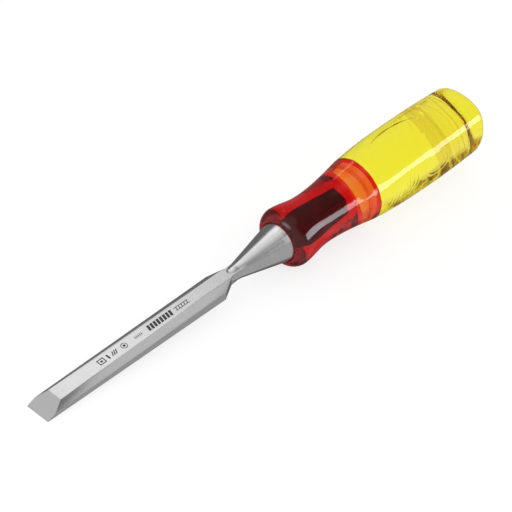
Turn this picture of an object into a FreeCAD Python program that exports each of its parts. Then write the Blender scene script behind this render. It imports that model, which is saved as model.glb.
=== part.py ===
import FreeCAD, Part
import Sketcher
import math
import os

# Bevel-edge bench chisel, millimetres.
# Design frame: +X runs from the cutting edge to the striking end along the handle axis,
# +Z is the bevelled side of the blade, the handle axis is y = z = 0.
# At the end every part gets the same Placement, which lays the chisel down as it rests on a bench.

NODES = ("blade", "front_sleeve", "handle_body", "strike_cap")
THROUGH = 80.0
SQUARE_SPLIT = math.radians(22.5)

doc = FreeCAD.newDocument("bench_chisel")

SIZES = {
    # blade
    "blade_width": 12.7,
    "back_level": 4.6,
    "tip_thickness": 4.7,
    "tip_land": 2.1,
    "tip_flat": 7.7,
    "root_station": 121.0,
    "root_thickness": 7.45,
    "root_land": 4.9,
    "root_flat": 6.0,
    "edge_bevel_length": 9.4,
    "shoulder_start": 108.6,
    "shoulder_end": 115.8,
    "shoulder_width": 5.4,
    "back_rise": 1.5,
    # neck, bolster cone and tang
    "neck_start": 111.0,
    "neck_start_radius": 1.3,
    "neck_station": 118.6,
    "neck_radius": 3.55,
    "cone_start": 122.2,
    "cone_start_radius": 3.95,
    "cone_end": 148.6,
    "cone_end_radius": 9.75,
    "bolster_face": 150.2,
    "bolster_edge": 0.6,
    "tang_root": 8.4,
    "tang_end": 6.0,
    "tang_tip": 187.0,
    # front sleeve
    "sleeve_front": 148.3,
    "lip_radius": 10.1,
    "sleeve_rear": 199.7,
    "sleeve_rear_radius": 15.75,
    "socket_end_radius": 9.75,
    # spigot of the handle body inside the front sleeve
    "spigot_front": 189.0,
    "spigot_radius": 11.2,
    "key_front": 195.2,
    "key_rear": 197.0,
    "key_radius": 9.9,
    # strike cap
    "seam_station": 259.0,
    "cap_rear": 272.4,
    "cap_edge": 3.2,
    "plug_front": 249.0,
    "plug_radius": 12.6,
    "seam_chamfer": 0.35,
}

# Outer line of the front sleeve: station along the axis, radius.
SLEEVE_LINE = (
    (148.9, 11.5),
    (150.0, 12.95),
    (151.6, 14.05),
    (153.8, 14.56),
    (157.0, 14.33),
    (161.0, 13.66),
    (166.0, 12.84),
    (171.0, 12.55),
    (177.0, 12.74),
    (183.0, 13.26),
    (190.0, 14.17),
    (195.5, 15.05),
)

# Squared sections of the handle: station, half width across the flats, corner radius.
BODY_SECTIONS = (
    (199.7, 15.75, 15.75),
    (206.0, 16.15, 15.0),
    (214.0, 16.45, 13.6),
    (224.0, 16.55, 12.2),
    (236.0, 16.55, 11.2),
    (248.0, 16.45, 10.9),
    (259.0, 16.15, 10.6),
)
CAP_SECTIONS = (
    (259.0, 16.15, 10.6),
    (265.5, 15.85, 10.2),
    (272.4, 15.4, 9.7),
)


def add_sheet():
    """Write every size into the sheet as an aliased cell."""
    made = doc.addObject("Spreadsheet::Sheet", "Dims")
    row = 1
    for name, value in SIZES.items():
        made.set("A%d" % row, name)
        made.set("B%d" % row, str(value))
        made.setAlias("B%d" % row, name)
        row += 1
    for prefix, table in (("body", BODY_SECTIONS), ("cap", CAP_SECTIONS)):
        for index, values in enumerate(table):
            for word, value in zip(("station", "half", "corner"), values):
                name = "%s_%s_%s" % (prefix, word, "abcdefgh"[index])
                made.set("A%d" % row, name)
                made.set("B%d" % row, str(value))
                made.setAlias("B%d" % row, name)
                row += 1
    return made


sheet = add_sheet()
doc.recompute()


class Size:
    """A number together with the sheet expression that gives it."""

    def __init__(self, value, text):
        self.value = float(value)
        self.text = text

    @staticmethod
    def of(other):
        if isinstance(other, Size):
            return other
        return Size(other, "%.15g" % other)

    def __add__(self, other):
        other = Size.of(other)
        return Size(self.value + other.value, "(%s + %s)" % (self.text, other.text))

    def __sub__(self, other):
        other = Size.of(other)
        return Size(self.value - other.value, "(%s - %s)" % (self.text, other.text))

    def __mul__(self, factor):
        return Size(self.value * factor, "(%s * %.15g)" % (self.text, factor))

    def __neg__(self):
        return self * -1.0


def dim(name):
    return Size(sheet.get(name), "Dims." + name)


def new_body(name):
    body = doc.addObject("PartDesign::Body", name)
    body.Label = name
    return body


def origin_plane(body, role):
    for feature in body.Origin.OriginFeatures:
        if feature.Role == role:
            return feature
    raise RuntimeError("no plane " + role)


def new_sketch(body, name, role, station=None):
    """A sketch on an origin plane of the body, moved along the plane normal to the station."""
    sketch = body.newObject("Sketcher::SketchObject", name)
    sketch.AttachmentSupport = [(origin_plane(body, role), "")]
    sketch.MapMode = "FlatFace"
    if station is not None:
        sketch.AttachmentOffset = FreeCAD.Placement(
            FreeCAD.Vector(0, 0, station.value), FreeCAD.Rotation()
        )
        sketch.setExpression("AttachmentOffset.Base.z", station.text)
    return sketch


def bind(sketch, kind, arguments, size, name):
    """Add one dimension to the sketch and bind it to the sheet."""
    index = sketch.addConstraint(Sketcher.Constraint(kind, *arguments, size.value))
    sketch.renameConstraint(index, name)
    sketch.setExpression("Constraints." + name, size.text)


def add_polygon(sketch, corners, tag="p"):
    """A closed chain of lines; each corner is placed from the origin by bound dimensions."""
    first = sketch.GeometryCount
    count = len(corners)
    points = [FreeCAD.Vector(x.value, y.value, 0) for x, y in corners]
    for index in range(count):
        sketch.addGeometry(Part.LineSegment(points[index], points[(index + 1) % count]), False)
    for index in range(count):
        following = first + (index + 1) % count
        sketch.addConstraint(Sketcher.Constraint("Coincident", first + index, 2, following, 1))
    for index, (x, y) in enumerate(corners):
        bind(sketch, "DistanceX", (-1, 1, first + index, 1), x, "%s%dx" % (tag, index))
        bind(sketch, "DistanceY", (-1, 1, first + index, 1), y, "%s%dy" % (tag, index))


def add_squared(sketch, half, corner):
    """A rounded square of eight tangent arcs; equal half width and corner radius give a circle."""
    split = math.cos(SQUARE_SPLIT) - math.sin(SQUARE_SPLIT)
    side_radius = (half - corner * split) * (1.0 / (1.0 - split))
    side_centre = half.value - side_radius.value
    corner_centre = (side_radius.value - corner.value) * math.sin(SQUARE_SPLIT)
    normal = FreeCAD.Vector(0, 0, 1)
    for quarter in range(4):
        turn = quarter * math.pi / 2
        centre = FreeCAD.Vector(side_centre * math.cos(turn), side_centre * math.sin(turn), 0)
        side = Part.Circle(centre, normal, side_radius.value)
        arc = Part.ArcOfCircle(side, turn - SQUARE_SPLIT, turn + SQUARE_SPLIT)
        index = sketch.addGeometry(arc, False)
        bind(sketch, "Radius", (index,), side_radius, "side%d" % quarter)
        middle = turn + math.pi / 4
        reach = corner_centre * math.sqrt(2.0)
        centre = FreeCAD.Vector(reach * math.cos(middle), reach * math.sin(middle), 0)
        rounded = Part.Circle(centre, normal, corner.value)
        spread = math.pi / 4 - SQUARE_SPLIT
        arc = Part.ArcOfCircle(rounded, middle - spread, middle + spread)
        index = sketch.addGeometry(arc, False)
        bind(sketch, "Radius", (index,), corner, "corner%d" % quarter)


def add_loft(body, name, sketches, ruled=False, cut=False):
    kind = "PartDesign::SubtractiveLoft" if cut else "PartDesign::AdditiveLoft"
    loft = body.newObject(kind, name)
    loft.Profile = sketches[0]
    loft.Sections = sketches[1:]
    loft.Ruled = ruled
    doc.recompute()
    return loft


def add_turned(body, name, sketch, cut=False):
    """Turn a sketch about the handle axis, adding or cutting."""
    kind = "PartDesign::Groove" if cut else "PartDesign::Revolution"
    turned = body.newObject(kind, name)
    turned.Profile = sketch
    turned.ReferenceAxis = (sketch, ["H_Axis"])
    turned.Angle = 360.0
    doc.recompute()
    return turned


def add_pocket(body, name, sketch):
    """Cut the sketch through the whole body, both ways from its plane."""
    pocket = body.newObject("PartDesign::Pocket", name)
    pocket.Profile = sketch
    pocket.SideType = "Symmetric"
    pocket.Type = "Length"
    pocket.Length = THROUGH
    doc.recompute()
    return pocket


def blade_section(body, name, station, land, flat, thickness):
    """Six-sided section: flat back, two upright lands, two bevels and the top flat."""
    sketch = new_sketch(body, name, "YZ_Plane", station)
    half = dim("blade_width") * 0.5
    back = -dim("back_level")
    add_polygon(
        sketch,
        [
            (-half, back),
            (half, back),
            (half, back + land),
            (flat * 0.5, back + thickness),
            (flat * -0.5, back + thickness),
            (-half, back + land),
        ],
    )
    return sketch


def square_section(body, name, station, side):
    sketch = new_sketch(body, name, "YZ_Plane", station)
    half = side * 0.5
    add_polygon(sketch, [(-half, -half), (half, -half), (half, half), (-half, half)])
    return sketch


def build_blade():
    """One steel forging: blade, neck, bolster cone and tang."""
    body = new_body("blade")
    zero = Size(0.0, "0")
    back = -dim("back_level")

    tip = blade_section(
        body, "tip_section", zero, dim("tip_land"), dim("tip_flat"), dim("tip_thickness")
    )
    root = blade_section(
        body, "root_section", dim("root_station"), dim("root_land"), dim("root_flat"),
        dim("root_thickness")
    )
    add_loft(body, "blade_blank", [tip, root], ruled=True)

    # main bevel that makes the cutting edge
    bevel = new_sketch(body, "edge_bevel_sketch", "XZ_Plane")
    add_polygon(
        bevel,
        [
            (zero, back),
            (dim("edge_bevel_length") * 1.5, back + dim("tip_thickness") * 1.5),
            (-dim("edge_bevel_length"), back + dim("tip_thickness") * 1.5),
            (-dim("edge_bevel_length"), back),
        ],
    )
    add_pocket(body, "edge_bevel", bevel)

    # shoulders: the blade narrows to the neck in plan
    plan = new_sketch(body, "shoulder_sketch", "XY_Plane")
    half = dim("blade_width") * 0.5
    narrow = dim("shoulder_width") * 0.5
    for side, tag in ((1.0, "a"), (-1.0, "b")):
        add_polygon(
            plan,
            [
                (dim("shoulder_start"), half * side),
                (dim("shoulder_end"), narrow * side),
                (dim("root_station") + 1.0, narrow * side),
                (dim("root_station") + 1.0, half * (side * 1.6)),
                (dim("shoulder_start"), half * (side * 1.6)),
            ],
            tag,
        )
    add_pocket(body, "shoulders", plan)

    # the back of the blade rises to meet the neck
    rise = new_sketch(body, "back_rise_sketch", "XZ_Plane")
    add_polygon(
        rise,
        [
            (dim("shoulder_start"), back),
            (dim("root_station") + 1.0, back + dim("back_rise") * 1.6),
            (dim("root_station") + 1.0, back - 1.0),
            (dim("shoulder_start"), back - 1.0),
        ],
    )
    add_pocket(body, "back_rise", rise)

    # turned neck and bolster cone
    cone = new_sketch(body, "cone_sketch", "XZ_Plane")
    edge = dim("bolster_edge")
    add_polygon(
        cone,
        [
            (dim("neck_start"), zero),
            (dim("neck_start"), dim("neck_start_radius")),
            (dim("neck_station") - 2.3, dim("neck_radius") - 0.45),
            (dim("neck_station"), dim("neck_radius")),
            (dim("cone_start"), dim("cone_start_radius")),
            (dim("cone_end"), dim("cone_end_radius")),
            (dim("bolster_face") - edge, dim("cone_end_radius")),
            (dim("bolster_face"), dim("cone_end_radius") - edge),
            (dim("bolster_face"), zero),
        ],
    )
    add_turned(body, "neck_and_cone", cone)

    # square tang, tapering to its end inside the front sleeve
    tang = [
        square_section(body, "tang_root_section", dim("bolster_face") - 2.0, dim("tang_root")),
        square_section(body, "tang_end_section", dim("tang_tip"), dim("tang_end")),
    ]
    add_loft(body, "tang", tang, ruled=True)
    return body


def build_front_sleeve():
    """Translucent red sleeve moulded over the bolster and tang."""
    body = new_body("front_sleeve")
    front = FreeCAD.Vector(dim("sleeve_front").value, dim("lip_radius").value, 0)
    rear = FreeCAD.Vector(dim("sleeve_rear").value, dim("sleeve_rear_radius").value, 0)
    outer = Part.BSplineCurve()
    outer.interpolate([front] + [FreeCAD.Vector(x, r, 0) for x, r in SLEEVE_LINE] + [rear])

    profile = new_sketch(body, "sleeve_profile", "XZ_Plane")
    front_foot = FreeCAD.Vector(front.x, 0, 0)
    rear_foot = FreeCAD.Vector(rear.x, 0, 0)
    curve = profile.addGeometry(outer, False)
    rear_face = profile.addGeometry(Part.LineSegment(rear, rear_foot), False)
    axis_line = profile.addGeometry(Part.LineSegment(rear_foot, front_foot), False)
    front_face = profile.addGeometry(Part.LineSegment(front_foot, front), False)
    chain = (curve, rear_face, axis_line, front_face)
    for index in range(4):
        pair = (chain[index], 2, chain[(index + 1) % 4], 1)
        profile.addConstraint(Sketcher.Constraint("Coincident", *pair))
    bind(profile, "DistanceX", (-1, 1, front_face, 2), dim("sleeve_front"), "front_x")
    bind(profile, "DistanceY", (-1, 1, front_face, 2), dim("lip_radius"), "front_y")
    bind(profile, "DistanceX", (-1, 1, rear_face, 1), dim("sleeve_rear"), "rear_x")
    bind(profile, "DistanceY", (-1, 1, rear_face, 1), dim("sleeve_rear_radius"), "rear_y")
    add_turned(body, "sleeve_blank", profile)

    # seat of the bolster cone: a small gap at the lip, then a close fit
    zero = Size(0.0, "0")
    edge = dim("bolster_edge")
    seat = new_sketch(body, "seat_sketch", "XZ_Plane")
    add_polygon(
        seat,
        [
            (dim("sleeve_front") - 1.0, zero),
            (dim("sleeve_front") - 1.0, dim("lip_radius") + 0.05),
            (dim("sleeve_front") + 0.7, dim("cone_end_radius")),
            (dim("bolster_face") - edge, dim("cone_end_radius")),
            (dim("bolster_face"), dim("cone_end_radius") - edge),
            (dim("bolster_face"), zero),
        ],
    )
    add_turned(body, "bolster_seat", seat, cut=True)

    # pocket of the tang
    tang = [
        square_section(body, "tang_pocket_root", dim("bolster_face") - 2.0, dim("tang_root")),
        square_section(body, "tang_pocket_end", dim("tang_tip"), dim("tang_end")),
    ]
    add_loft(body, "tang_pocket", tang, ruled=True, cut=True)

    # bore of the handle body's spigot with its key ring
    bore = new_sketch(body, "spigot_bore_sketch", "XZ_Plane")
    add_polygon(bore, spigot_outline(zero, dim("sleeve_rear") + 1.0))
    add_turned(body, "spigot_bore", bore, cut=True)
    return body


def spigot_outline(axis_level, rear):
    """Half outline of the spigot that joins the handle body to the front sleeve."""
    radius = dim("spigot_radius")
    return [
        (dim("spigot_front"), axis_level),
        (dim("spigot_front"), radius),
        (dim("key_front"), radius),
        (dim("key_front") + 0.4, dim("key_radius")),
        (dim("key_rear") - 0.4, dim("key_radius")),
        (dim("key_rear"), radius),
        (rear, radius),
        (rear, axis_level),
    ]


def squared_sections(body, prefix, table):
    sketches = []
    for index in range(len(table)):
        letter = "abcdefgh"[index]
        names = ["%s_%s_%s" % (prefix, word, letter) for word in ("station", "half", "corner")]
        station, half, corner = (dim(name) for name in names)
        sketch = new_sketch(body, "%s_section_%s" % (prefix, letter), "YZ_Plane", station)
        add_squared(sketch, half, corner)
        sketches.append(sketch)
    return sketches


def build_handle_body():
    """Clear yellow grip with the front spigot and the rear counterbore."""
    body = new_body("handle_body")
    zero = Size(0.0, "0")
    add_loft(body, "grip", squared_sections(body, "body", BODY_SECTIONS))
    spigot = new_sketch(body, "spigot_sketch", "XZ_Plane")
    add_polygon(spigot, spigot_outline(zero, dim("sleeve_rear") + 2.0))
    add_turned(body, "spigot", spigot)
    bore = new_sketch(body, "plug_bore_sketch", "XZ_Plane")
    add_polygon(bore, plug_outline(zero, dim("seam_station") + 1.0))
    add_turned(body, "plug_bore", bore, cut=True)
    return body


def plug_outline(axis_level, rear):
    """Half outline of the plug that holds the strike cap in the handle body."""
    radius = dim("plug_radius")
    return [
        (dim("plug_front"), axis_level),
        (dim("plug_front"), radius - 1.0),
        (dim("plug_front") + 1.0, radius),
        (rear, radius),
        (rear, axis_level),
    ]


def edges_at(shape, station):
    """Names of the edges that lie in the plane x = station, outside the plug."""
    names = []
    for index, edge in enumerate(shape.Edges):
        box = edge.BoundBox
        if abs(box.XMin - station) < 1e-4 and abs(box.XMax - station) < 1e-4:
            first = edge.Vertexes[0].Point
            if math.hypot(first.y, first.z) > SIZES["plug_radius"] + 0.5:
                names.append("Edge%d" % (index + 1))
    return names


def dress(body, kind, name, station, size):
    """Round or bevel the outer edge loop at a station."""
    base = body.Tip
    feature = body.newObject(kind, name)
    feature.Base = (base, edges_at(base.Shape, station.value))
    if kind.endswith("Fillet"):
        feature.Radius = size.value
        feature.setExpression("Radius", size.text)
    else:
        feature.Size = size.value
        feature.setExpression("Size", size.text)
    doc.recompute()
    return feature


def build_strike_cap():
    """Clear yellow end cap that takes the mallet blows, plugged into the grip."""
    body = new_body("strike_cap")
    zero = Size(0.0, "0")
    add_loft(body, "cap_blank", squared_sections(body, "cap", CAP_SECTIONS))
    plug = new_sketch(body, "plug_sketch", "XZ_Plane")
    add_polygon(plug, plug_outline(zero, dim("seam_station") + 1.0))
    add_turned(body, "plug", plug)
    dress(body, "PartDesign::Fillet", "rear_edge", dim("cap_rear"), dim("cap_edge"))
    dress(body, "PartDesign::Chamfer", "seam_edge", dim("seam_station"), dim("seam_chamfer"))
    return body


bodies = [build_blade(), build_front_sleeve(), build_handle_body(), build_strike_cap()]
dress(bodies[2], "PartDesign::Chamfer", "grip_seam_edge", dim("seam_station"), dim("seam_chamfer"))

# Lay the chisel down: it rests on its cutting edge and on the bulge of the front sleeve.
pitch = max(math.degrees(math.atan2(r - SIZES["back_level"], x)) for x, r in SLEEVE_LINE)
tilt = FreeCAD.Placement(
    FreeCAD.Vector(0, 0, 0), FreeCAD.Rotation(FreeCAD.Vector(0, 1, 0), -pitch)
)
box = FreeCAD.BoundBox()
for body in bodies:
    placed = body.Shape.copy()
    placed.Placement = tilt
    box.add(placed.optimalBoundingBox(False))
shift = FreeCAD.Vector(-box.Center.x, -box.Center.y, -box.ZMin)
for body in bodies:
    body.Placement = FreeCAD.Placement(shift, tilt.Rotation)
doc.recompute()

for item in doc.Objects:
    if "Invalid" in item.State or "Error" in item.State:
        raise RuntimeError("%s is not valid: %s" % (item.Name, item.State))

os.makedirs("parts", exist_ok=True)
for body in bodies:
    if body.Label not in NODES or body.Shape.isNull() or not body.Shape.isValid():
        raise RuntimeError("bad shape in " + body.Label)
    body.Shape.exportStep("parts/%s.step" % body.Label)
    print("%s: %.1f mm3, %d solid" % (body.Label, body.Shape.Volume, len(body.Shape.Solids)))
print("pitch %.3f, shift %s" % (pitch, tuple(round(c, 3) for c in shift)))
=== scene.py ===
import math

import bpy
from mathutils import Matrix, Vector


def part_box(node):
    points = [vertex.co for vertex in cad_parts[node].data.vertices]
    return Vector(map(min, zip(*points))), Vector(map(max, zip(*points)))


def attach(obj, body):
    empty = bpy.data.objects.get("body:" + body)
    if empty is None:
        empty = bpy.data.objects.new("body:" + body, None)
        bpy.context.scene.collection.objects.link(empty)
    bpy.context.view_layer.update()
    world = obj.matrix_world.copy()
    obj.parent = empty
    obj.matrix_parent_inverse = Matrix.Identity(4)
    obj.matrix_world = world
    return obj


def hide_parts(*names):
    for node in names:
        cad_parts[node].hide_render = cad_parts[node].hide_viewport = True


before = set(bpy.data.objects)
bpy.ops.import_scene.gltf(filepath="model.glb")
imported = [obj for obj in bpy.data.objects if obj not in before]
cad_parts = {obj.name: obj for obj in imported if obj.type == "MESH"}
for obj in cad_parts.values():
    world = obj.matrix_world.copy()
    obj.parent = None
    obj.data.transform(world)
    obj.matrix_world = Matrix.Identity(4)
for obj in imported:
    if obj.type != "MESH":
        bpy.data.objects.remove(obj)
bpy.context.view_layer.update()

# The chisel's own axes: X from the cutting edge to the striking end along the handle axis, Z up from the
# flat back. Sizes are millimetres, turned into metres and laid down by place().
MM = 0.001

# The chisel rests on its cutting edge, BACK_LEVEL under the axis, and on the sleeve's bulge.
BACK_LEVEL = 4.6
BULGE_X = 153.8
BULGE_RADIUS = 14.56
PITCH = math.atan2(BULGE_RADIUS - BACK_LEVEL, BULGE_X)
EDGE_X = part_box("blade")[0][0] - BACK_LEVEL * MM * math.sin(PITCH)
EDGE_Z = BACK_LEVEL * MM * math.cos(PITCH)
LAY_DOWN = Matrix.Translation((EDGE_X, 0.0, EDGE_Z)) @ Matrix.Rotation(-PITCH, 4, "Y")

# Clearance between mouldings that touch, so no two faces lie in one place.
GAP = 0.03
RING_POINTS = 256

# A side arc of the squared section turns this much each way from its middle.
ARC_SPLIT = math.radians(22.5)

# (station, radius) from the lip to the rear edge.
LIP_FRONT = 148.3
SLEEVE_LINE = [
    (LIP_FRONT, 10.1), (148.9, 11.5), (150.0, 12.95), (151.6, 14.05), (BULGE_X, BULGE_RADIUS), (157.0, 14.33),
    (161.0, 13.66), (166.0, 12.84), (171.0, 12.55), (177.0, 12.74), (183.0, 13.26), (190.0, 14.17),
    (195.5, 15.05), (199.7, 15.75),
]
# (station, half width across the flats, corner radius) of the grip and cap.
GRIP_SECTIONS = [
    (199.7, 15.75, 15.75), (206.0, 16.15, 15.0), (214.0, 16.45, 13.6), (224.0, 16.55, 12.2),
    (236.0, 16.55, 11.2), (248.0, 16.45, 10.9), (259.0, 16.15, 10.6), (265.5, 15.85, 10.2),
    (272.4, 15.4, 9.7),
]
# Blade: its thickness at the cutting edge and at the root, and where the turned finish sets in.
BLADE_ROOT = 121.0
TIP_THICKNESS = 4.7
ROOT_THICKNESS = 7.45
TURNED_FROM = 116.5
TURNED_FULLY = 119.0
BOLSTER_FACE = 150.2

# Sleeve: the bore round the cone narrows from the lip to the bolster face. The lip's inner edge is
# (depth behind the lip, step outwards), and the bore keeps its width between the two throat depths.
LIP_BORE = 9.75
LIP_EDGE = (0.15, 0.2)
LIP_THROAT = (0.7, 1.3)
BORE_END = 9.15

# Half widths of the square tang hole.
TANG_ROOT = 4.2
TANG_END = 3.0
TANG_TIP = 187.0
SLEEVE_REAR = 199.7
REAR_BEVEL = 0.15

# Grip spigot in the sleeve, with a sunk key ring.
SPIGOT_FRONT = 189.0
SPIGOT_RADIUS = 11.2
SPIGOT_BEVEL = 0.5
KEY_FRONT = 195.2
KEY_REAR = 197.0
KEY_RADIUS = 9.9
KEY_SLOPE = 0.4

# Cap plug in the grip, with a shallow ring.
PLUG_FRONT = 249.0
PLUG_RADIUS = 12.6
PLUG_BEVEL = 1.0
PLUG_RING_FRONT = 253.2
PLUG_RING_REAR = 254.4
PLUG_RING_RADIUS = 12.0
PLUG_RING_SLOPE = 0.3

# Seam between grip and cap, and the cap's rounded rear edge.
SEAM = 259.0
SEAM_EDGE = 0.14
CAP_REAR = 272.4
CAP_EDGE = 3.2

# Swept skins close on the axis through a ring this small.
CORE_RADIUS = 0.5
SHARP_ANGLE = math.radians(32.0)

# Kinds of face on a moulding: its own polished skin, or a joint with the next moulding.
SKIN = 0.0
JOINT = 1.0

ACETATE_IOR = 1.48

# The striking face is a little duller than the rest of the cap.
STRUCK_DEPTH = 0.3
STRUCK_ROUGHNESS = 0.12

# The tang's dark forge scale starts at the bolster face and is rougher than the ground steel.
SCALE_FADE = 0.2
SCALE_ROUGHNESS = 0.35


# ---------------------------------------------------------------- curves and rings

def smooth_line(points, steps):
    """Points on a smooth cubic curve through (x, y, ...) tuples with rising x, steps per span."""
    out = []
    last = len(points) - 1
    for span in range(last):
        p0 = points[max(span - 1, 0)]
        p1 = points[span]
        p2 = points[span + 1]
        p3 = points[min(span + 2, last)]
        width = p2[0] - p1[0]
        slope1 = [(b - a) / (p2[0] - p0[0]) * width for a, b in zip(p0, p2)]
        slope2 = [(b - a) / (p3[0] - p1[0]) * width for a, b in zip(p1, p3)]
        for step in range(steps):
            t = step / steps
            h00 = 2 * t ** 3 - 3 * t ** 2 + 1
            h10 = t ** 3 - 2 * t ** 2 + t
            h01 = -2 * t ** 3 + 3 * t ** 2
            h11 = t ** 3 - t ** 2
            out.append(tuple(
                h00 * a + h10 * m1 + h01 * b + h11 * m2
                for a, m1, b, m2 in zip(p1, slope1, p2, slope2)
            ))
    out.append(tuple(points[last]))
    return out


def squared_ring(half, corner):
    """RING_POINTS (y, z, ny, nz) round a square of eight tangent arcs; half = corner gives a circle."""
    split = math.cos(ARC_SPLIT) - math.sin(ARC_SPLIT)
    side = (half - corner * split) / (1.0 - split)
    reach = (side - corner) * math.sin(ARC_SPLIT) * math.sqrt(2.0)
    ring = []
    for index in range(RING_POINTS):
        angle = 2 * math.pi * index / RING_POINTS
        quarter = round(angle / (math.pi / 2))
        turn = quarter * math.pi / 2
        if abs(angle - turn) <= ARC_SPLIT + 1e-9:
            centre = ((half - side) * math.cos(turn), (half - side) * math.sin(turn))
            radius = side
        else:
            middle = (math.floor(angle / (math.pi / 2)) + 0.5) * math.pi / 2
            centre = (reach * math.cos(middle), reach * math.sin(middle))
            radius = corner
        ny, nz = math.cos(angle), math.sin(angle)
        ring.append((centre[0] + radius * ny, centre[1] + radius * nz, ny, nz))
    return ring


def round_ring(radius):
    return squared_ring(radius, radius)


def box_ring(half):
    """A square outline with the same number of points as the round rings."""
    ring = []
    for index in range(RING_POINTS):
        angle = 2 * math.pi * index / RING_POINTS
        ny, nz = math.cos(angle), math.sin(angle)
        reach = half / max(abs(ny), abs(nz))
        ring.append((reach * ny, reach * nz, ny, nz))
    return ring


def grown(ring, steps):
    """The ring with each point moved outwards along its normal by its own step."""
    return [(y + step * ny, z + step * nz, ny, nz) for (y, z, ny, nz), step in zip(ring, steps)]


def place(x, y, z):
    return LAY_DOWN @ Vector((x * MM, y * MM, z * MM))


def sweep(name, stations, material):
    """A closed skin through (x, ring, kind) stations; both ends close on the axis.

    The kind SKIN or JOINT of a station marks the faces that lead to it from the station before.
    """
    vertices = []
    faces = []
    kinds = []
    for x, ring, _ in stations:
        vertices.extend(place(x, y, z) for y, z, _, _ in ring)
    for row in range(len(stations) - 1):
        kind = stations[row + 1][2]
        for index in range(RING_POINTS):
            following = (index + 1) % RING_POINTS
            a = row * RING_POINTS + index
            b = row * RING_POINTS + following
            faces.append((a, b, b + RING_POINTS, a + RING_POINTS))
            kinds.append(kind)
    for row, flip in ((0, True), (len(stations) - 1, False)):
        centre = len(vertices)
        vertices.append(place(stations[row][0], 0.0, 0.0))
        for index in range(RING_POINTS):
            following = (index + 1) % RING_POINTS
            pair = [row * RING_POINTS + index, row * RING_POINTS + following]
            if flip:
                pair.reverse()
            faces.append((pair[0], pair[1], centre))
            kinds.append(stations[row][2])
    mesh = bpy.data.meshes.new(name)
    mesh.from_pydata(vertices, [], faces)
    mesh.materials.append(material)
    mesh.attributes.new("joint", "FLOAT", "FACE").data.foreach_set("value", kinds)
    mesh.polygons.foreach_set("use_smooth", [True] * len(faces))
    mesh.update()
    piece = bpy.data.objects.new(name, mesh)
    bpy.context.scene.collection.objects.link(piece)
    volume = sum(face.normal.dot(face.center) * face.area for face in mesh.polygons)
    if volume < 0:
        mesh.flip_normals()
    mesh.set_sharp_from_angle(angle=SHARP_ANGLE)
    return piece


# ---------------------------------------------------------------- materials

def new_material(name):
    material = bpy.data.materials.new(name)
    material.use_nodes = True
    tree = material.node_tree
    return material, tree, tree.nodes["Principled BSDF"]


def grey(value):
    return (value, value, value, 1.0)


def add_node(tree, kind, **values):
    node = tree.nodes.new(kind)
    for key, value in values.items():
        if key in node.inputs:
            node.inputs[key].default_value = value
        else:
            setattr(node, key, value)
    return node


def chisel_coordinates(tree, scale):
    """Texture coordinates along the chisel's own axes, in millimetres times scale."""
    source = tree.nodes.new("ShaderNodeTexCoord")
    stand_up = LAY_DOWN.inverted()
    per_metre = 1.0 / MM
    turn = add_node(tree, "ShaderNodeMapping", vector_type="POINT")
    turn.inputs["Location"].default_value = stand_up.to_translation() * per_metre
    turn.inputs["Rotation"].default_value = stand_up.to_euler()
    turn.inputs["Scale"].default_value = (per_metre, per_metre, per_metre)
    stretch = add_node(tree, "ShaderNodeMapping", vector_type="POINT")
    stretch.inputs["Scale"].default_value = scale
    tree.links.new(source.outputs["Object"], turn.inputs["Vector"])
    tree.links.new(turn.outputs["Vector"], stretch.inputs["Vector"])
    return stretch.outputs["Vector"], turn.outputs["Vector"]


def remap(tree, value, low, high, from_low=0.0, from_high=1.0):
    node = tree.nodes.new("ShaderNodeMapRange")
    node.inputs["From Min"].default_value = from_low
    node.inputs["From Max"].default_value = from_high
    node.inputs["To Min"].default_value = low
    node.inputs["To Max"].default_value = high
    tree.links.new(value, node.inputs["Value"])
    return node.outputs["Result"]


def mix_values(tree, factor, first, second):
    node = tree.nodes.new("ShaderNodeMix")
    node.data_type = "FLOAT"
    tree.links.new(factor, node.inputs[0])
    tree.links.new(first, node.inputs[2])
    tree.links.new(second, node.inputs[3])
    return node.outputs[0]


def mix_colours(tree, factor, first, second):
    """Blend of two colours; each is a socket or a constant."""
    node = tree.nodes.new("ShaderNodeMix")
    node.data_type = "RGBA"
    tree.links.new(factor, node.inputs[0])
    for colour, socket in ((first, node.inputs[6]), (second, node.inputs[7])):
        if isinstance(colour, tuple):
            socket.default_value = colour
        else:
            tree.links.new(colour, socket)
    return node.outputs[2]


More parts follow.
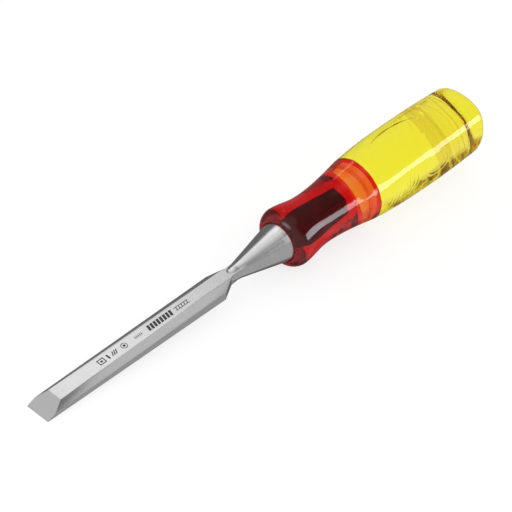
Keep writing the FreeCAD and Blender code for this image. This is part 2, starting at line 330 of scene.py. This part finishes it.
def steel_material():
    """Ground flats on the blade, finely turned rings on the neck and cone, and forge scale on the tang."""
    material, tree, shader = new_material("ground_steel")
    shader.inputs["Metallic"].default_value = 1.0
    grain_at, chisel_at = chisel_coordinates(tree, (1.6, 7.0, 7.0))
    grain = add_node(tree, "ShaderNodeTexNoise", Scale=1.0, Detail=6.0, Roughness=0.65)
    tree.links.new(grain_at, grain.inputs["Vector"])
    ring_at, _ = chisel_coordinates(tree, (11.0, 0.12, 0.12))
    rings = add_node(tree, "ShaderNodeTexNoise", Scale=1.0, Detail=5.0, Roughness=0.7)
    tree.links.new(ring_at, rings.inputs["Vector"])
    split = tree.nodes.new("ShaderNodeSeparateXYZ")
    tree.links.new(chisel_at, split.inputs["Vector"])
    on_cone = remap(tree, split.outputs["X"], 0.0, 1.0, TURNED_FROM, TURNED_FULLY)
    texture = mix_values(tree, on_cone, grain.outputs["Fac"], rings.outputs["Fac"])
    cloud_at, _ = chisel_coordinates(tree, (0.12, 0.2, 0.2))
    cloud = add_node(tree, "ShaderNodeTexNoise", Scale=1.0, Detail=3.0)
    tree.links.new(cloud_at, cloud.inputs["Vector"])

    ramp = tree.nodes.new("ShaderNodeValToRGB")
    ramp.color_ramp.elements[0].position = 0.3
    ramp.color_ramp.elements[0].color = (0.50, 0.50, 0.505, 1.0)
    ramp.color_ramp.elements[1].position = 0.7
    ramp.color_ramp.elements[1].color = (0.66, 0.655, 0.65, 1.0)
    tree.links.new(texture, ramp.inputs["Fac"])
    scale = tree.nodes.new("ShaderNodeValToRGB")
    scale.color_ramp.elements[0].color = (0.05, 0.045, 0.042, 1.0)
    scale.color_ramp.elements[1].color = (0.22, 0.20, 0.19, 1.0)
    tree.links.new(cloud.outputs["Fac"], scale.inputs["Fac"])
    on_tang = remap(tree, split.outputs["X"], 0.0, 1.0, BOLSTER_FACE - SCALE_FADE, BOLSTER_FACE)
    colour = mix_colours(tree, on_tang, ramp.outputs["Color"], scale.outputs["Color"])
    tree.links.new(colour, shader.inputs["Base Color"])

    fine = remap(tree, texture, 0.17, 0.28)
    worn = remap(tree, cloud.outputs["Fac"], -0.01, 0.012, 0.3, 0.7)
    rough = add_node(tree, "ShaderNodeMath", operation="ADD")
    tree.links.new(fine, rough.inputs[0])
    tree.links.new(worn, rough.inputs[1])
    forged = add_node(tree, "ShaderNodeMath", operation="MULTIPLY_ADD")
    forged.inputs[1].default_value = SCALE_ROUGHNESS
    tree.links.new(on_tang, forged.inputs[0])
    tree.links.new(rough.outputs[0], forged.inputs[2])
    tree.links.new(forged.outputs[0], shader.inputs["Roughness"])

    bump = add_node(tree, "ShaderNodeBump", Strength=0.2, Distance=0.00002)
    tree.links.new(texture, bump.inputs["Height"])
    tree.links.new(bump.outputs["Normal"], shader.inputs["Normal"])
    return material


def acetate_material(name, tint, absorbed, density):
    """Clear cellulose acetate: a polished refracting skin round an absorbing inside.

    Faces marked as joints are fused to the next moulding, so light goes straight through them.
    """
    material, tree, shader = new_material(name)
    shader.inputs["Base Color"].default_value = tint
    shader.inputs["Transmission Weight"].default_value = 1.0
    volume = tree.nodes.new("ShaderNodeVolumeAbsorption")
    volume.inputs["Color"].default_value = absorbed
    volume.inputs["Density"].default_value = density
    output = tree.nodes["Material Output"]
    tree.links.new(volume.outputs["Volume"], output.inputs["Volume"])

    joint = add_node(tree, "ShaderNodeAttribute", attribute_name="joint")
    tree.links.new(remap(tree, joint.outputs["Fac"], ACETATE_IOR, 1.0), shader.inputs["IOR"])

    rub_at, chisel_at = chisel_coordinates(tree, (0.5, 2.6, 2.6))
    rub = add_node(tree, "ShaderNodeTexNoise", Scale=1.0, Detail=5.0, Roughness=0.7)
    tree.links.new(rub_at, rub.inputs["Vector"])
    worn = remap(tree, rub.outputs["Fac"], 0.0, 0.05, 0.45, 0.8)
    split = tree.nodes.new("ShaderNodeSeparateXYZ")
    tree.links.new(chisel_at, split.inputs["Vector"])
    struck = add_node(tree, "ShaderNodeMath", operation="ADD")
    tree.links.new(worn, struck.inputs[0])
    dulled = remap(tree, split.outputs["X"], 0.0, STRUCK_ROUGHNESS, CAP_REAR - STRUCK_DEPTH, CAP_REAR)
    tree.links.new(dulled, struck.inputs[1])
    polish = add_node(tree, "ShaderNodeMath", operation="MULTIPLY")
    tree.links.new(struck.outputs[0], polish.inputs[0])
    tree.links.new(remap(tree, joint.outputs["Fac"], 1.0, 0.0), polish.inputs[1])
    tree.links.new(polish.outputs[0], shader.inputs["Roughness"])

    wave_at, _ = chisel_coordinates(tree, (0.10, 0.16, 0.16))
    wave = add_node(tree, "ShaderNodeTexNoise", Scale=1.0, Detail=1.5)
    tree.links.new(wave_at, wave.inputs["Vector"])
    swell = add_node(tree, "ShaderNodeBump", Strength=0.35, Distance=0.0004)
    tree.links.new(wave.outputs["Fac"], swell.inputs["Height"])
    scuff = add_node(tree, "ShaderNodeBump", Strength=0.05, Distance=0.00002)
    tree.links.new(rub.outputs["Fac"], scuff.inputs["Height"])
    tree.links.new(swell.outputs["Normal"], scuff.inputs["Normal"])
    tree.links.new(scuff.outputs["Normal"], shader.inputs["Normal"])
    return material


def etch_material():
    """Dark matt laser etching with a slightly uneven burn."""
    material, tree, shader = new_material("etched_mark")
    shader.inputs["Specular IOR Level"].default_value = 0.2
    burn_at, _ = chisel_coordinates(tree, (3.0, 3.0, 3.0))
    burn = add_node(tree, "ShaderNodeTexNoise", Scale=1.0, Detail=4.0)
    tree.links.new(burn_at, burn.inputs["Vector"])
    ramp = tree.nodes.new("ShaderNodeValToRGB")
    ramp.color_ramp.elements[0].color = (0.02, 0.02, 0.021, 1.0)
    ramp.color_ramp.elements[1].color = (0.08, 0.08, 0.083, 1.0)
    tree.links.new(burn.outputs["Fac"], ramp.inputs["Fac"])
    tree.links.new(ramp.outputs["Color"], shader.inputs["Base Color"])
    tree.links.new(remap(tree, burn.outputs["Fac"], 0.5, 0.7), shader.inputs["Roughness"])
    return material


red_acetate = acetate_material(
    "red_acetate", tint=(1.0, 0.9, 0.9, 1.0), absorbed=(0.945, 0.0, 0.057, 1.0), density=400.0
)
yellow_acetate = acetate_material(
    "yellow_acetate", tint=(0.94, 0.89, 0.9, 1.0), absorbed=(0.995, 0.986, 0.0, 1.0), density=86.0
)
steel = steel_material()
etching = etch_material()


# ---------------------------------------------------------------- front sleeve

def spigot_line(step, end_x):
    """(station, radius, kind) along the spigot from its front face to end_x, grown by step."""
    full = SPIGOT_RADIUS + step
    return [
        (SPIGOT_FRONT - step, full - SPIGOT_BEVEL, JOINT),
        (SPIGOT_FRONT + SPIGOT_BEVEL - step, full, SKIN),
        (KEY_FRONT - step, full, JOINT),
        (KEY_FRONT + KEY_SLOPE - step, KEY_RADIUS + step, SKIN),
        (KEY_REAR - KEY_SLOPE + step, KEY_RADIUS + step, JOINT),
        (KEY_REAR + step, full, SKIN),
        (end_x, full, JOINT),
    ]


def plug_line(step):
    """(station, radius, kind) along the cap's plug from its front face to the seam, grown by step."""
    full = PLUG_RADIUS + step
    return [
        (PLUG_FRONT - step, full - PLUG_BEVEL, JOINT),
        (PLUG_FRONT + PLUG_BEVEL - step, full, JOINT),
        (PLUG_RING_FRONT - step, full, JOINT),
        (PLUG_RING_FRONT + PLUG_RING_SLOPE - step, PLUG_RING_RADIUS + step, SKIN),
        (PLUG_RING_REAR - PLUG_RING_SLOPE + step, PLUG_RING_RADIUS + step, JOINT),
        (PLUG_RING_REAR + step, full, SKIN),
        (SEAM - step, full, JOINT),
    ]


def build_front_sleeve():
    bore = spigot_line(GAP, SLEEVE_REAR)
    stations = [(bore[0][0], round_ring(CORE_RADIUS), JOINT)]
    for x, radius, kind in bore:
        stations.append((x, round_ring(radius), kind))
    outer = list(reversed(smooth_line(SLEEVE_LINE, 8)))
    rear_radius = outer[0][1]
    stations.append((SLEEVE_REAR, round_ring(rear_radius - REAR_BEVEL), SKIN))
    stations.append((SLEEVE_REAR - REAR_BEVEL, round_ring(rear_radius), SKIN))
    for x, radius in outer[1:]:
        stations.append((x, round_ring(radius), SKIN))
    edge_depth, edge_step = LIP_EDGE
    stations.append((LIP_FRONT + edge_depth, round_ring(LIP_BORE + edge_step), SKIN))
    for depth, kind in zip(LIP_THROAT, (SKIN, JOINT)):
        stations.append((LIP_FRONT + depth, round_ring(LIP_BORE + GAP), kind))
    stations.append((BOLSTER_FACE + GAP, round_ring(BORE_END), JOINT))
    stations.append((BOLSTER_FACE + GAP, box_ring(TANG_ROOT + GAP), JOINT))
    stations.append((TANG_TIP + GAP, box_ring(TANG_END + GAP), JOINT))
    piece = sweep("front_sleeve_moulding", stations, red_acetate)
    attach(piece, "root")
    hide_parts("front_sleeve")


# ---------------------------------------------------------------- yellow grip and cap

GRIP_LINE = smooth_line(GRIP_SECTIONS, 24)
GRIP_STEP = 0.25
CAP_STEP = 0.5
CAP_EDGE_STEPS = 16

# Raised decoration on the grip. A strength is a share of EMBOSS_HEIGHT, an edge is a line's half width,
# a fade is (full up to, gone at), and an oval is (middle along, middle across, half length, half width).
EMBOSS_HEIGHT = 0.17
FLAT_FROM = 8.0
TOP_OVAL = (225.5, 0.0, 17.5, 7.6)
TOP_OVAL_STRENGTH = 1.3
SIDE_OVAL = (237.0, 4.0, 7.5, 5.0)
SIDE_OVAL_STRENGTH = 0.6
OVAL_EDGE = 0.9
STROKES = 6
STROKE_START = 219.5
STROKE_PITCH = 3.2
STROKE_LEAN = 0.45
STROKE_EDGE = 0.8
STROKE_STRENGTH = 1.1
STROKE_FADE = (3.2, 4.4)
RIB_STRENGTHS = (0.4, 0.4, 0.4, 0.7, 0.7, 0.7, 0.7)
RIB_START = 208.8
RIB_PITCH = 2.6
RIB_BOW = 0.045
RIB_MIDDLE = 5.0
RIB_EDGE = 0.85
RIB_FADE = (6.0, 9.0)
RIB_FADE_MIDDLE = 3.5


def smoothstep(low, high, value):
    t = min(max((value - low) / (high - low), 0.0), 1.0)
    return t * t * (3 - 2 * t)


def ridge(distance, width):
    """Height from 1 on the line to 0 at the given half width, rounded."""
    return 1.0 - smoothstep(0.0, width, abs(distance))


def oval(x, across, shape):
    """Height of a raised oval outline, 0 away from it."""
    middle_x, middle_across, half_length, half_width = shape
    along = x - middle_x
    across = across - middle_across
    reach = math.hypot(along / half_length, across / half_width)
    if not 0.5 < reach < 1.5:
        return 0.0
    slope = math.hypot(along / half_length ** 2, across / half_width ** 2) / reach
    return ridge((reach - 1.0) / slope, OVAL_EDGE)


def emboss(x, y, z):
    """Raised decoration on the grip: ovals with slanted strokes above and below, bowed ribs on the sides."""
    height = 0.0
    if abs(z) > FLAT_FROM:
        height = TOP_OVAL_STRENGTH * oval(x, y, TOP_OVAL)
        fade = 1.0 - smoothstep(*STROKE_FADE, abs(y))
        for index in range(STROKES):
            middle = STROKE_START + STROKE_PITCH * index + STROKE_LEAN * y
            height = max(height, STROKE_STRENGTH * ridge(x - middle, STROKE_EDGE) * fade)
    if abs(y) > FLAT_FROM:
        height = max(height, SIDE_OVAL_STRENGTH * oval(x, z, SIDE_OVAL))
        fade = 1.0 - smoothstep(*RIB_FADE, abs(z - RIB_FADE_MIDDLE))
        for index, strength in enumerate(RIB_STRENGTHS):
            middle = RIB_START + RIB_PITCH * index - RIB_BOW * (z - RIB_MIDDLE) ** 2
            height = max(height, strength * ridge(x - middle, RIB_EDGE) * fade)
    return height * EMBOSS_HEIGHT


def grip_section(x):
    """Interpolated (half width, corner radius) of the squared handle at a station."""
    after = next(row for row in GRIP_LINE if row[0] >= x - 1e-6)
    before = GRIP_LINE[max(GRIP_LINE.index(after) - 1, 0)]
    span = max(after[0] - before[0], 1e-9)
    t = min(max((x - before[0]) / span, 0.0), 1.0)
    return before[1] + (after[1] - before[1]) * t, before[2] + (after[2] - before[2]) * t


def grip_ring(x, inset=0.0):
    """The squared outline at a station, moved inwards by inset."""
    half, corner = grip_section(x)
    return squared_ring(half - inset, corner - inset)


def build_handle_body():
    front = SLEEVE_REAR + GAP
    stations = [(SPIGOT_FRONT, round_ring(CORE_RADIUS), JOINT)]
    for x, radius, kind in spigot_line(0.0, front):
        stations.append((x, round_ring(radius), kind))
    stations.append((front, grip_ring(front, REAR_BEVEL), SKIN))
    stations.append((front + REAR_BEVEL, grip_ring(front), SKIN))
    x = front + 0.4
    while x < SEAM - 2 * GRIP_STEP:
        ring = grip_ring(x)
        raised = [emboss(x, y, z) for y, z, _, _ in ring]
        stations.append((x, grown(ring, raised), SKIN))
        x += GRIP_STEP
    stations.append((SEAM - SEAM_EDGE, grip_ring(SEAM), SKIN))
    stations.append((SEAM - GAP, grip_ring(SEAM, SEAM_EDGE), SKIN))
    bore = list(reversed(plug_line(GAP)))
    kinds = [JOINT] + [kind for _, _, kind in bore]
    for (x, radius, _), kind in zip(bore, kinds):
        stations.append((x, round_ring(radius), kind))
    stations.append((PLUG_FRONT - GAP, round_ring(CORE_RADIUS), JOINT))
    piece = sweep("grip_moulding", stations, yellow_acetate)
    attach(piece, "root")
    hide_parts("handle_body")


def build_strike_cap():
    stations = [(PLUG_FRONT, round_ring(CORE_RADIUS), JOINT)]
    for x, radius, kind in plug_line(0.0):
        stations.append((x, round_ring(radius), kind))
    stations.append((SEAM, grip_ring(SEAM, SEAM_EDGE), JOINT))
    x = SEAM + SEAM_EDGE
    while x < CAP_REAR - CAP_EDGE:
        stations.append((x, grip_ring(x), SKIN))
        x += CAP_STEP
    for step in range(CAP_EDGE_STEPS + 1):
        angle = math.pi / 2 * step / CAP_EDGE_STEPS
        ring = grip_ring(CAP_REAR, CAP_EDGE * (1 - math.cos(angle)))
        stations.append((CAP_REAR - CAP_EDGE + CAP_EDGE * math.sin(angle), ring, SKIN))
    half, corner = grip_section(CAP_REAR)
    for share in (0.8, 0.55, 0.3, 0.05):
        inner = squared_ring((half - CAP_EDGE) * share, (corner - CAP_EDGE) * share)
        stations.append((CAP_REAR, inner, SKIN))
    piece = sweep("strike_cap_moulding", stations, yellow_acetate)
    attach(piece, "root")
    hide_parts("strike_cap")


# ---------------------------------------------------------------- blade

MARK_THICKNESS = 0.012
WELD_WITHIN = 0.001
EDGE_ROUNDING = 0.025
ROUNDED_FROM = math.radians(14.0)


def finish_blade():
    """The CAD blade keeps its shape; its edges get a hair of rounding and the ground steel."""
    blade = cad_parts["blade"]
    blade.data.materials.clear()
    blade.data.materials.append(steel)
    weld = blade.modifiers.new("weld", "WELD")
    weld.merge_threshold = WELD_WITHIN * MM
    bevel = blade.modifiers.new("edge_rounding", "BEVEL")
    bevel.width = EDGE_ROUNDING * MM
    bevel.segments = 2
    bevel.limit_method = "ANGLE"
    bevel.angle_limit = ROUNDED_FROM
    bevel.harden_normals = True


def top_height(x):
    """Height of the blade's top flat over the handle axis."""
    return TIP_THICKNESS - BACK_LEVEL + (ROOT_THICKNESS - TIP_THICKNESS) * x / BLADE_ROOT


def slab(x0, x1, y0, y1, lean=0.0):
    """Outline of a bar on the top flat; lean shifts it along x for each millimetre of y."""
    return [(x + lean * y, y) for x, y in ((x0, y0), (x1, y0), (x1, y1), (x0, y1))]


def bar_row(count, start, pitch, width, half, lean=0.0):
    """Outlines of equal bars side by side along the blade."""
    fronts = [start + pitch * index for index in range(count)]
    return [slab(front, front + width, -half, half, lean) for front in fronts]


def hoop(middle, inner, outer, count):
    """Outlines that together make a ring round (middle, 0)."""
    outlines = []
    for index in range(count):
        a0, a1 = (2 * math.pi * step / count for step in (index, index + 1))
        corners = ((inner, a0), (outer, a0), (outer, a1), (inner, a1))
        outlines.append([(middle + radius * math.cos(a), radius * math.sin(a)) for radius, a in corners])
    return outlines


def mark_outlines():
    """Plain generic etching: a framed square, bars, a ring round a square, and rows of bars and rules."""
    outlines = [
        slab(36.0, 39.8, -1.6, -1.1),
        slab(36.0, 39.8, 1.1, 1.6),
        slab(36.0, 36.5, -1.1, 1.1),
        slab(39.3, 39.8, -1.1, 1.1),
        slab(37.3, 38.5, -0.5, 0.5),
        slab(41.4, 42.3, -1.4, 1.4),
    ]
    outlines += bar_row(3, start=44.2, pitch=1.1, width=0.6, half=1.2, lean=0.6)
    outlines += hoop(51.5, inner=1.3, outer=1.65, count=24)
    outlines.append(slab(50.9, 52.1, -0.6, 0.6))
    outlines += bar_row(5, start=58.0, pitch=0.95, width=0.4, half=0.7)
    outlines += bar_row(8, start=66.0, pitch=1.9, width=1.35, half=1.6, lean=0.25)
    outlines.append(slab(82.6, 91.0, 0.75, 1.05))
    outlines.append(slab(82.6, 91.0, -1.05, -0.75))
    outlines += bar_row(5, start=83.4, pitch=1.6, width=0.45, half=0.75, lean=0.4)
    return outlines


def build_etching():
    """The marks as slivers standing about a hundredth of a millimetre proud of the top flat."""
    vertices = []
    faces = []
    for outline in mark_outlines():
        first = len(vertices)
        count = len(outline)
        for lift in (-MARK_THICKNESS, MARK_THICKNESS):
            vertices.extend(place(x, y, top_height(x) + lift) for x, y in outline)
        faces.append(tuple(first + count + i for i in range(count)))
        faces.append(tuple(first + i for i in reversed(range(count))))
        for i in range(count):
            j = (i + 1) % count
            faces.append((first + i, first + j, first + count + j, first + count + i))
    mesh = bpy.data.meshes.new("etched_marks")
    mesh.from_pydata(vertices, [], faces)
    mesh.materials.append(etching)
    piece = bpy.data.objects.new("etched_marks", mesh)
    bpy.context.scene.collection.objects.link(piece)
    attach(piece, "root")


finish_blade()
build_etching()
build_front_sleeve()
build_handle_body()
build_strike_cap()


# ---------------------------------------------------------------- floor, lights, camera

FLOOR_REACH = 3.0
ROOM_BRIGHTNESS = 0.85
PANEL_BRIGHTNESS = 0.62

# Points on the chisel that the softboxes stand off, in metres.
BLADE_MIDDLE = (-0.085, 0.0, 0.012)
BLADE_TIP = (-0.132, 0.0, 0.004)
NECK = (-0.002, 0.0, 0.018)
LIP = (0.012, 0.0, 0.020)
GRIP_SIDE = (0.020, 0.0, 0.010)

CAMERA_AZIMUTH = math.radians(-52.4997)
CAMERA_ELEVATION = math.radians(40.912)
CAMERA_ROLL = math.radians(8.67)
CAMERA_DISTANCE = 1.6
CAMERA_TARGET = Vector((-0.00278, 0.0, 0.01412))
CAMERA_LENS = 254.562
CAMERA_SENSOR = 36.0


def build_floor():
    """A pale floor that glows a little, as a light table does, and stays out of the steel's reflections."""
    mesh = bpy.data.meshes.new("studio_floor")
    corners = [(x * FLOOR_REACH, y * FLOOR_REACH, 0.0) for x, y in ((-1, -1), (1, -1), (1, 1), (-1, 1))]
    mesh.from_pydata(corners, [], [(0, 1, 2, 3)])
    floor = bpy.data.objects.new("studio_floor", mesh)
    bpy.context.scene.collection.objects.link(floor)
    material, _, shader = new_material("pale_floor")
    shader.inputs["Base Color"].default_value = grey(0.3)
    shader.inputs["Roughness"].default_value = 0.9
    shader.inputs["Specular IOR Level"].default_value = 0.0
    shader.inputs["Emission Color"].default_value = grey(1.0)
    shader.inputs["Emission Strength"].default_value = 0.77
    mesh.materials.append(material)
    floor.visible_glossy = False


def build_world():
    """A bright even room; polished and ground surfaces mirror its dimmer walls and pale panels instead.

    The panels hang overhead and behind the cutting edge, so they light the other sides of the chisel.
    """
    world = bpy.data.worlds.new("studio")
    bpy.context.scene.world = world
    world.use_nodes = True
    tree = world.node_tree
    source = tree.nodes.new("ShaderNodeTexCoord")
    toward = add_node(tree, "ShaderNodeVectorMath", operation="DOT_PRODUCT")
    toward.inputs[1].default_value = (0.0, -0.9, -0.4)
    tree.links.new(source.outputs["Generated"], toward.inputs[0])
    walls = tree.nodes.new("ShaderNodeValToRGB")
    walls.color_ramp.elements[0].position = 0.3
    walls.color_ramp.elements[0].color = grey(0.2)
    walls.color_ramp.elements[1].position = 0.86
    walls.color_ramp.elements[1].color = grey(0.55)
    for position in (0.70, 0.76):
        walls.color_ramp.elements.new(position).color = grey(0.13)
    tree.links.new(remap(tree, toward.outputs["Value"], 0.0, 1.0, -1.0, 1.0), walls.inputs["Fac"])

    split = tree.nodes.new("ShaderNodeSeparateXYZ")
    tree.links.new(source.outputs["Generated"], split.inputs["Vector"])
    panels = add_node(tree, "ShaderNodeMath", operation="MAXIMUM")
    tree.links.new(remap(tree, split.outputs["X"], 1.0, 0.0, -0.5, -0.15), panels.inputs[0])
    tree.links.new(remap(tree, split.outputs["Z"], 0.0, 1.0, 0.90, 0.97), panels.inputs[1])
    lined = mix_colours(tree, panels.outputs[0], walls.outputs["Color"], grey(PANEL_BRIGHTNESS))

    path = tree.nodes.new("ShaderNodeLightPath")
    mirrored = add_node(tree, "ShaderNodeMath", operation="SUBTRACT")
    tree.links.new(path.outputs["Is Reflection Ray"], mirrored.inputs[0])
    tree.links.new(path.outputs["Is Diffuse Ray"], mirrored.inputs[1])
    room = mix_colours(tree, mirrored.outputs[0], grey(ROOM_BRIGHTNESS), lined)
    backdrop = mix_colours(tree, path.outputs["Is Camera Ray"], room, grey(1.0))
    tree.links.new(backdrop, tree.nodes["Background"].inputs["Color"])


def lit_group(name, pieces):
    """A collection of the pieces that a softbox falls on."""
    group = bpy.data.collections.new(name)
    for piece in pieces:
        group.objects.link(bpy.data.objects[piece])
    return group


def softbox(name, lit, target, direction, distance, size, radiance):
    """A rectangular lamp of a given radiance that stands off a target and falls on the collection lit.

    The size is (width, height); the width runs along X.
    """
    width, height = size
    lamp = bpy.data.lights.new(name, "AREA")
    lamp.shape = "RECTANGLE"
    lamp.size = width
    lamp.size_y = height
    lamp.energy = radiance * math.pi * width * height
    obj = bpy.data.objects.new(name, lamp)
    away = Vector(direction).normalized()
    side = (Vector((1.0, 0.0, 0.0)) - away * away.x).normalized()
    matrix = Matrix((side, away.cross(side), away)).transposed().to_4x4()
    matrix.translation = Vector(target) + away * distance
    obj.matrix_world = matrix
    obj.light_linking.receiver_collection = lit
    bpy.context.scene.collection.objects.link(obj)
    return lamp


def build_lights():
    """The steel and the acetate have their own softboxes, since each mirrors its own part of the studio."""
    metal = lit_group("lit_metal", ("blade", "etched_marks"))
    clear = lit_group("lit_acetate", ("front_sleeve_moulding", "grip_moulding", "strike_cap_moulding"))
    softbox("softbox_back", metal, BLADE_MIDDLE, (0.477, 0.46, 0.748), 0.45, (0.17, 0.20), 0.84)
    softbox("softbox_front", metal, BLADE_MIDDLE, (0.52, -0.62, 0.59), 0.5, (0.26, 0.28), 0.70)
    softbox("softbox_tip", metal, BLADE_TIP, (-0.27, 0.46, 0.84), 0.6, (0.3, 0.3), 0.36)
    softbox("softbox_over", metal, NECK, (0.20, 0.42, 0.88), 0.5, (0.16, 0.50), 0.3)
    softbox("softbox_wide", metal, NECK, (0.15, 0.06, 0.98), 0.5, (0.18, 0.85), 0.3)
    softbox("softbox_left", metal, (0.0, 0.0, 0.0), (-0.80, 0.10, 0.45), 1.3, (0.6, 2.4), 0.9)

    strip = softbox("softbox_strip", clear, GRIP_SIDE, (0.62, -0.74, 0.22), 0.9, (0.62, 0.30), 6.0)
    strip.color = (0.93, 0.93, 1.0)
    softbox("softbox_lip", clear, LIP, (-0.93, 0.18, 0.30), 0.7, (0.24, 0.36), 2.6)
    softbox("softbox_glint", clear, LIP, (0.34, 0.67, 0.66), 0.6, (0.10, 0.08), 1.6)


def build_camera():
    data = bpy.data.cameras.new("photo_camera")
    data.lens = CAMERA_LENS
    data.sensor_width = CAMERA_SENSOR
    data.clip_end = 20.0
    camera = bpy.data.objects.new("photo_camera", data)
    back = Vector((
        math.sin(CAMERA_AZIMUTH) * math.cos(CAMERA_ELEVATION),
        -math.cos(CAMERA_AZIMUTH) * math.cos(CAMERA_ELEVATION),
        math.sin(CAMERA_ELEVATION),
    ))
    level = Vector((math.cos(CAMERA_AZIMUTH), math.sin(CAMERA_AZIMUTH), 0.0))
    upright = back.cross(level)
    right = level * math.cos(CAMERA_ROLL) + upright * math.sin(CAMERA_ROLL)
    up = upright * math.cos(CAMERA_ROLL) - level * math.sin(CAMERA_ROLL)
    matrix = Matrix((right, up, back)).transposed().to_4x4()
    matrix.translation = CAMERA_TARGET + back * CAMERA_DISTANCE
    camera.matrix_world = matrix
    bpy.context.scene.collection.objects.link(camera)
    bpy.context.scene.camera = camera


build_floor()
build_world()
build_lights()
build_camera()

# Light crosses many polished faces inside the clear mouldings before it comes out again.
LIGHT_BOUNCES = 32
scene = bpy.context.scene
scene.view_settings.view_transform = "Standard"
scene.view_settings.look = "None"
scene.cycles.max_bounces = LIGHT_BOUNCES
scene.cycles.glossy_bounces = LIGHT_BOUNCES
scene.cycles.transmission_bounces = LIGHT_BOUNCES
